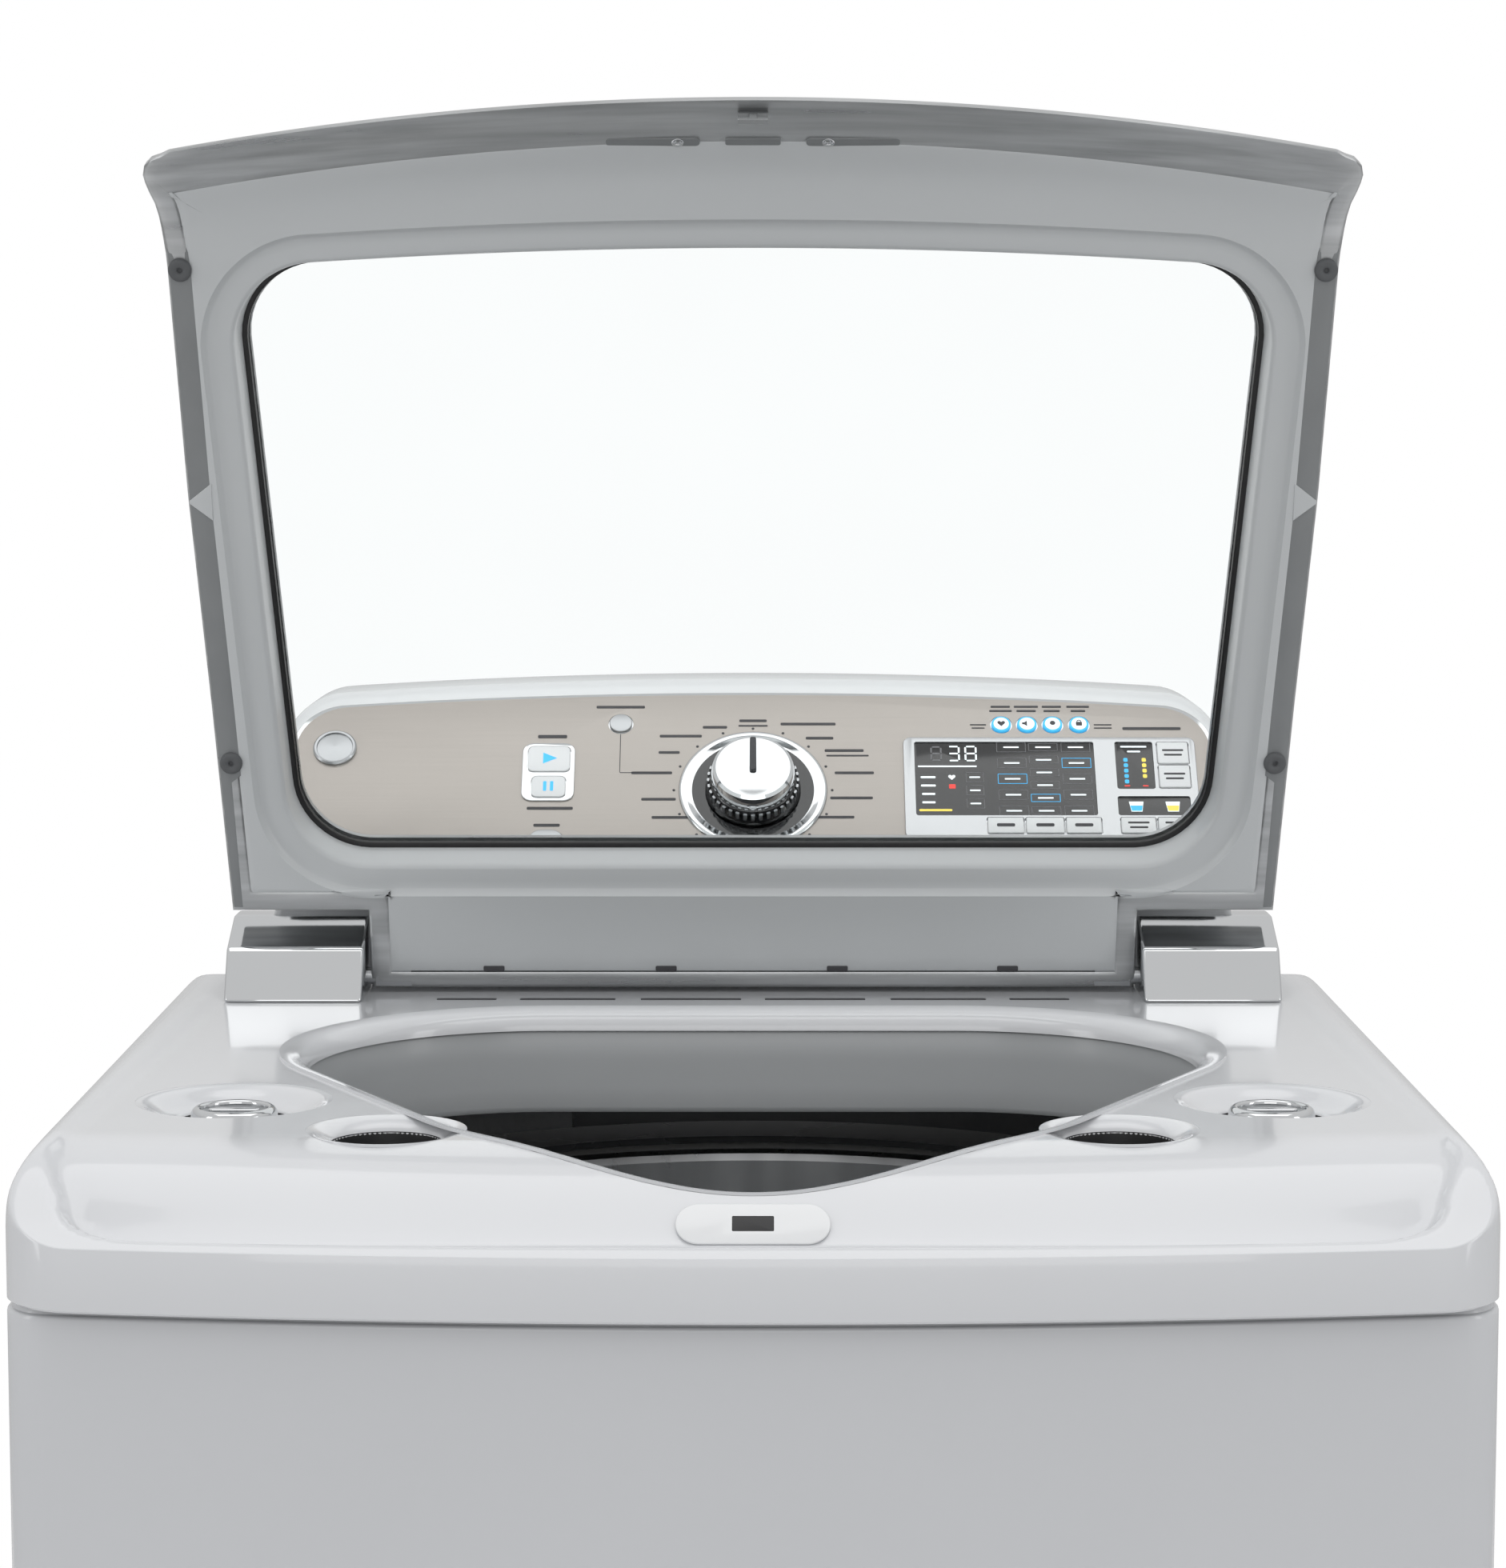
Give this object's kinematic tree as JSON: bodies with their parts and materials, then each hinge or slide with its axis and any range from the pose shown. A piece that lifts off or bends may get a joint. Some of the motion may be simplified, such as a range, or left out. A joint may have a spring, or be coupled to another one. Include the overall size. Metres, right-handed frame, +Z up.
{
  "type": "top load washing machine",
  "caption": "White top load washing machine with a bowed front, a raised glass lid, a grey tub opening, four dispenser bowls and a sloped rear control console with dial and display.",
  "frame": {"origin": "Centre of the footprint on the floor plane", "axes": "+Z up, the front faces -Y, +X to the right seen from the front"},
  "size_m": [0.705, 0.75, 1.4552],
  "materials": {
    "white_enamel": "gloss",
    "white_plastic": "gloss",
    "grey_plastic": "satin",
    "black_plastic": "satin",
    "chrome_trim": "polished",
    "silver_paint": "satin",
    "clear_glass": "polished",
    "champagne_panel": "satin",
    "dark_trim": "gloss",
    "display_glass": "polished",
    "blue_plastic": "gloss",
    "tank_plastic": "satin",
    "bare_steel": "satin",
    "stainless": "brushed",
    "foot_rubber": "matte",
    "cast_alloy": "cast",
    "copper_winding": "satin",
    "board": "matte"
  },
  "bodies": {
    "cabinet": {"cabinet_shell": "white_enamel", "rear_panel": "bare_steel", "base_frame": "bare_steel", "top_cover": "white_enamel", "opening_collar": "grey_plastic", "hinge_brackets": "bare_steel", "hinge_covers": "chrome_trim", "lock_plate": "white_plastic", "lock_housing": "black_plastic", "dispenser_tanks": "tank_plastic", "dispenser_cups": "black_plastic", "console_housing": "white_plastic", "console_fascia": "champagne_panel", "display_trim": "dark_trim", "display_windows": "display_glass", "knob_bezel": "chrome_trim", "control_board": "board", "inlet_valve": "white_plastic", "rear_fittings": "black_plastic", "suspension_rods": "bare_steel", "suspension_springs": "bare_steel"},
    "leg_front_left": {"leg_front_left": "foot_rubber"},
    "leg_front_right": {"leg_front_right": "foot_rubber"},
    "leg_rear_left": {"leg_rear_left": "foot_rubber"},
    "leg_rear_right": {"leg_rear_right": "foot_rubber"},
    "lid": {"lid_shell": "silver_paint", "lid_liner": "grey_plastic", "lid_glass": "clear_glass", "lid_bumpers": "foot_rubber", "lid_strike": "grey_plastic", "hinge_pins": "bare_steel"},
    "lock_bolt": {"lock_bolt": "black_plastic"},
    "selector_knob": {"selector_knob": "chrome_trim"},
    "start_button": {"start_button": "blue_plastic"},
    "pause_button": {"pause_button": "blue_plastic"},
    "power_button": {"power_button": "white_plastic"},
    "steam_button": {"steam_button": "white_plastic"},
    "settings_button": {"settings_button": "blue_plastic"},
    "signal_button": {"signal_button": "blue_plastic"},
    "light_button": {"light_button": "blue_plastic"},
    "child_lock_button": {"child_lock_button": "blue_plastic"},
    "soil_button": {"soil_button": "white_plastic"},
    "temp_button": {"temp_button": "white_plastic"},
    "spin_button": {"spin_button": "white_plastic"},
    "detergent_tank_button": {"detergent_tank_button": "white_plastic"},
    "softener_tank_button": {"softener_tank_button": "white_plastic"},
    "detergent_cup_button": {"detergent_cup_button": "white_plastic"},
    "softener_cup_button": {"softener_cup_button": "white_plastic"},
    "detergent_cap": {"detergent_cap": "chrome_trim"},
    "softener_cap": {"softener_cap": "chrome_trim"},
    "tub": {"outer_tub": "tank_plastic", "tub_ring": "black_plastic", "bearing_housing": "cast_alloy", "motor_stator": "copper_winding", "drain_pump": "black_plastic"},
    "basket": {"wash_basket": "stainless", "balance_ring": "stainless"},
    "drive": {"wash_plate": "tank_plastic", "drive_shaft": "bare_steel", "motor_rotor": "bare_steel"}
  },
  "joints": [
    {"name": "leg_front_left_height", "type": "slide", "parent": "cabinet", "child": "leg_front_left", "axis": [0, 0, 1], "range_m": [-0.02, 0]},
    {"name": "leg_front_right_height", "type": "slide", "parent": "cabinet", "child": "leg_front_right", "axis": [0, 0, 1], "range_m": [-0.02, 0]},
    {"name": "leg_rear_left_height", "type": "slide", "parent": "cabinet", "child": "leg_rear_left", "axis": [0, 0, 1], "range_m": [-0.02, 0]},
    {"name": "leg_rear_right_height", "type": "slide", "parent": "cabinet", "child": "leg_rear_right", "axis": [0, 0, 1], "range_m": [-0.02, 0]},
    {"name": "lid_hinge", "type": "hinge", "parent": "cabinet", "child": "lid", "pos_m": [0, 0.175, 0.95], "axis": [1, 0, 0], "range_deg": [0, 74]},
    {"name": "lock_bolt_slide", "type": "slide", "parent": "cabinet", "child": "lock_bolt", "axis": [1, 0, 0], "range_m": [0, 0.008]},
    {"name": "selector_turn", "type": "hinge", "parent": "cabinet", "child": "selector_knob", "pos_m": [0, 0.24234, 1.0533], "axis": [0, -0.7193, 0.6947], "continuous": true},
    {"name": "start_press", "type": "slide", "parent": "cabinet", "child": "start_button", "axis": [0, 0.7193, -0.6947], "range_m": [0, 0.0015], "stiffness_N_per_m": 900, "springref_m": -0.0005},
    {"name": "pause_press", "type": "slide", "parent": "cabinet", "child": "pause_button", "axis": [0, 0.7193, -0.6947], "range_m": [0, 0.0015], "stiffness_N_per_m": 900, "springref_m": -0.0005},
    {"name": "power_press", "type": "slide", "parent": "cabinet", "child": "power_button", "axis": [0, 0.7193, -0.6947], "range_m": [0, 0.0015], "stiffness_N_per_m": 900, "springref_m": -0.0005},
    {"name": "steam_press", "type": "slide", "parent": "cabinet", "child": "steam_button", "axis": [0, 0.7193, -0.6947], "range_m": [0, 0.0015], "stiffness_N_per_m": 900, "springref_m": -0.0005},
    {"name": "settings_press", "type": "slide", "parent": "cabinet", "child": "settings_button", "axis": [0, 0.7193, -0.6947], "range_m": [0, 0.0015], "stiffness_N_per_m": 900, "springref_m": -0.0005},
    {"name": "signal_press", "type": "slide", "parent": "cabinet", "child": "signal_button", "axis": [0, 0.7193, -0.6947], "range_m": [0, 0.0015], "stiffness_N_per_m": 900, "springref_m": -0.0005},
    {"name": "light_press", "type": "slide", "parent": "cabinet", "child": "light_button", "axis": [0, 0.7193, -0.6947], "range_m": [0, 0.0015], "stiffness_N_per_m": 900, "springref_m": -0.0005},
    {"name": "child_lock_press", "type": "slide", "parent": "cabinet", "child": "child_lock_button", "axis": [0, 0.7193, -0.6947], "range_m": [0, 0.0015], "stiffness_N_per_m": 900, "springref_m": -0.0005},
    {"name": "soil_press", "type": "slide", "parent": "cabinet", "child": "soil_button", "axis": [0, 0.7193, -0.6947], "range_m": [0, 0.0015], "stiffness_N_per_m": 900, "springref_m": -0.0005},
    {"name": "temp_press", "type": "slide", "parent": "cabinet", "child": "temp_button", "axis": [0, 0.7193, -0.6947], "range_m": [0, 0.0015], "stiffness_N_per_m": 900, "springref_m": -0.0005},
    {"name": "spin_press", "type": "slide", "parent": "cabinet", "child": "spin_button", "axis": [0, 0.7193, -0.6947], "range_m": [0, 0.0015], "stiffness_N_per_m": 900, "springref_m": -0.0005},
    {"name": "detergent_tank_press", "type": "slide", "parent": "cabinet", "child": "detergent_tank_button", "axis": [0, 0.7193, -0.6947], "range_m": [0, 0.0015], "stiffness_N_per_m": 900, "springref_m": -0.0005},
    {"name": "softener_tank_press", "type": "slide", "parent": "cabinet", "child": "softener_tank_button", "axis": [0, 0.7193, -0.6947], "range_m": [0, 0.0015], "stiffness_N_per_m": 900, "springref_m": -0.0005},
    {"name": "detergent_cup_press", "type": "slide", "parent": "cabinet", "child": "detergent_cup_button", "axis": [0, 0.7193, -0.6947], "range_m": [0, 0.0015], "stiffness_N_per_m": 900, "springref_m": -0.0005},
    {"name": "softener_cup_press", "type": "slide", "parent": "cabinet", "child": "softener_cup_button", "axis": [0, 0.7193, -0.6947], "range_m": [0, 0.0015], "stiffness_N_per_m": 900, "springref_m": -0.0005},
    {"name": "detergent_cap_lift", "type": "slide", "parent": "cabinet", "child": "detergent_cap", "axis": [0, 0, 1], "range_m": [0, 0.025]},
    {"name": "softener_cap_lift", "type": "slide", "parent": "cabinet", "child": "softener_cap", "axis": [0, 0, 1], "range_m": [0, 0.025]},
    {"name": "tub_float", "type": "slide", "parent": "cabinet", "child": "tub", "axis": [0, 0, 1], "range_m": [-0.03, 0.005], "stiffness_N_per_m": 12000, "springref_m": 0.04, "deforming": ["suspension_springs"]},
    {"name": "basket_spin", "type": "hinge", "parent": "tub", "child": "basket", "pos_m": [0, -0.05, 0.2], "axis": [0, 0, 1], "continuous": true},
    {"name": "drive_spin", "type": "hinge", "parent": "tub", "child": "drive", "pos_m": [0, -0.05, 0.2], "axis": [0, 0, 1], "continuous": true}
  ]
}
